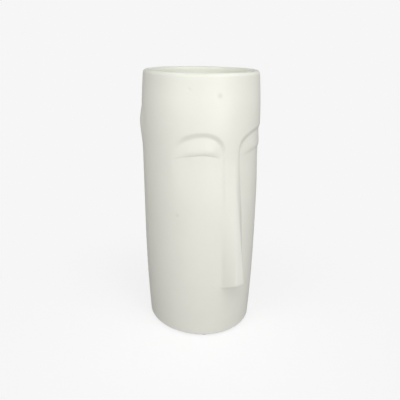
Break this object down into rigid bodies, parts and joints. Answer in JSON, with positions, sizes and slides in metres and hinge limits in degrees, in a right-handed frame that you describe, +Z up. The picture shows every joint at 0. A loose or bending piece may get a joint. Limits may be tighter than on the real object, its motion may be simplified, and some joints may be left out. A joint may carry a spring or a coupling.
{
  "type": "face vase",
  "caption": "Tall oval ceramic vase with an open mouth and a stylised face in relief, standing on small stick-on pads.",
  "frame": {"origin": "on the surface that the vase stands on, at the middle of its footprint's width and depth", "axes": "+Z up the vase, the face looks towards -Y, +X to the right of someone who looks at the face"},
  "size_m": [0.13, 0.149, 0.3],
  "materials": {
    "ceramic_glaze": "satin",
    "pad_rubber": "satin"
  },
  "bodies": {
    "root": {"vase_body": "ceramic_glaze", "foot_pad_1": "pad_rubber", "foot_pad_2": "pad_rubber", "foot_pad_3": "pad_rubber", "foot_pad_4": "pad_rubber"}
  },
  "joints": []
}
